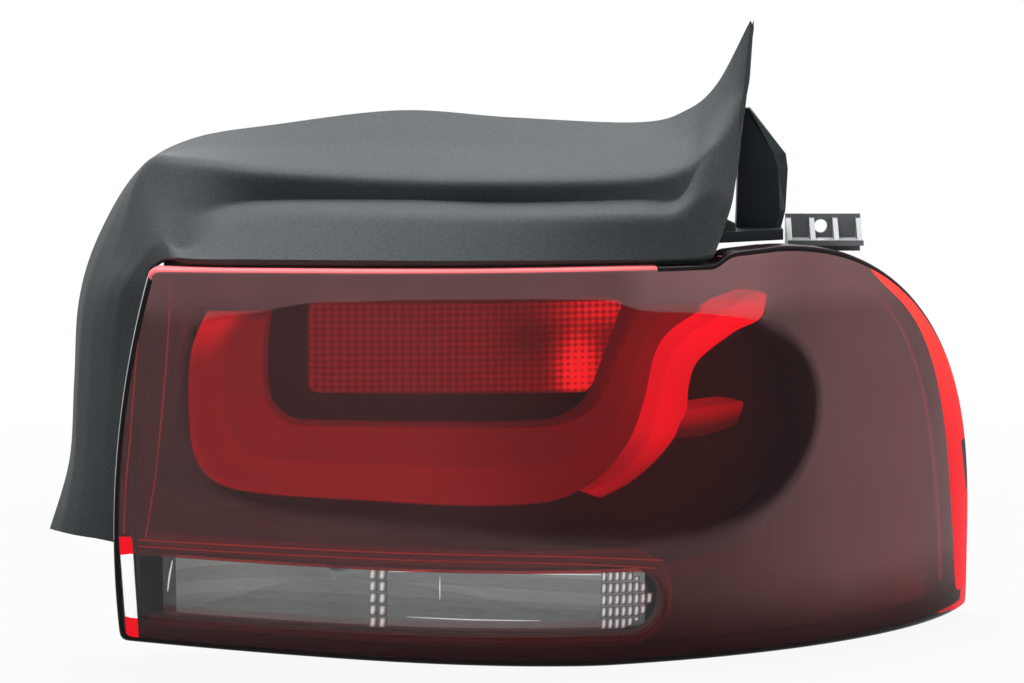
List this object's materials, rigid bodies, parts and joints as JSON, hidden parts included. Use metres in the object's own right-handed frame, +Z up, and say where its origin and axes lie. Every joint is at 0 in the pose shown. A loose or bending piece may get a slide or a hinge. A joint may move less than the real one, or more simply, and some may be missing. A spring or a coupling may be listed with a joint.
{
  "type": "tail light cluster",
  "caption": "Wrap-round rear lamp cluster: red lens with clear reversing window, light guides and patterned inner lenses, tub with studs behind, grained trim with an upswept horn above.",
  "frame": {"origin": "seat of the main stud, on the outer face of the housing's flat back wall", "axes": "+X outboard, towards the car's right side; +Y forward into the car body, along the studs; +Z up"},
  "size_m": [0.4497, 0.2187, 0.2985],
  "materials": {
    "red_lens": "clear red, moulded gloss",
    "clear_lens": "clear, moulded gloss",
    "housing_plastic": "fine satin, moulded",
    "bezel_plastic": "dark brown gloss",
    "tail_guide": "translucent red",
    "brake_guide": "translucent bright red",
    "indicator_plastic": "translucent, pillow optics",
    "bright_plastic": "vacuum-metallised bright coat",
    "prism_plastic": "clear, prism optics",
    "bulb_glass": "clear",
    "bulb_cap": "nickel-washed",
    "board": "solder mask",
    "chip": "domed resin",
    "carrier_plastic": "natural, moulded",
    "seal_foam": "closed-cell foam",
    "screw_steel": "zinc plated",
    "strip_brass": "bright, stamped",
    "plug_plastic": "satin",
    "pin_metal": "tin plated",
    "vent_rubber": "satin",
    "stud_steel": "zinc plated",
    "lug_plastic": "satin, moulded",
    "trim_plastic": "fine grained",
    "frame_plastic": "satin, moulded",
    "spring_steel": "sheet, satin"
  },
  "bodies": {
    "root": {"lens_red": "red_lens", "lens_clear": "clear_lens", "housing": "housing_plastic", "bezel": "bezel_plastic", "tail_band": "tail_guide", "hook_band": "brake_guide", "indicator_lens": "indicator_plastic", "indicator_reflector": "bright_plastic", "indicator_bulb": "bulb_glass", "indicator_cap": "bulb_cap", "reversing_prisms": "prism_plastic", "reversing_reflector": "bright_plastic", "reversing_bulb": "bulb_glass", "reversing_cap": "bulb_cap", "tail_board": "board", "brake_board": "board", "led_chips": "chip", "bulb_carrier": "carrier_plastic", "carrier_gasket": "seal_foam", "carrier_screws": "screw_steel", "feed_strips": "strip_brass", "bulb_strips": "strip_brass", "connector_shell": "plug_plastic", "connector_pins": "pin_metal", "vent_cap": "vent_rubber", "stud_seals": "seal_foam", "mounting_studs": "stud_steel", "locating_pins": "stud_steel", "fixing_lug": "lug_plastic", "trim_panel": "trim_plastic", "trim_frame": "frame_plastic", "trim_clips": "spring_steel", "frame_screws": "screw_steel", "corner_seal": "seal_foam"}
  },
  "joints": []
}
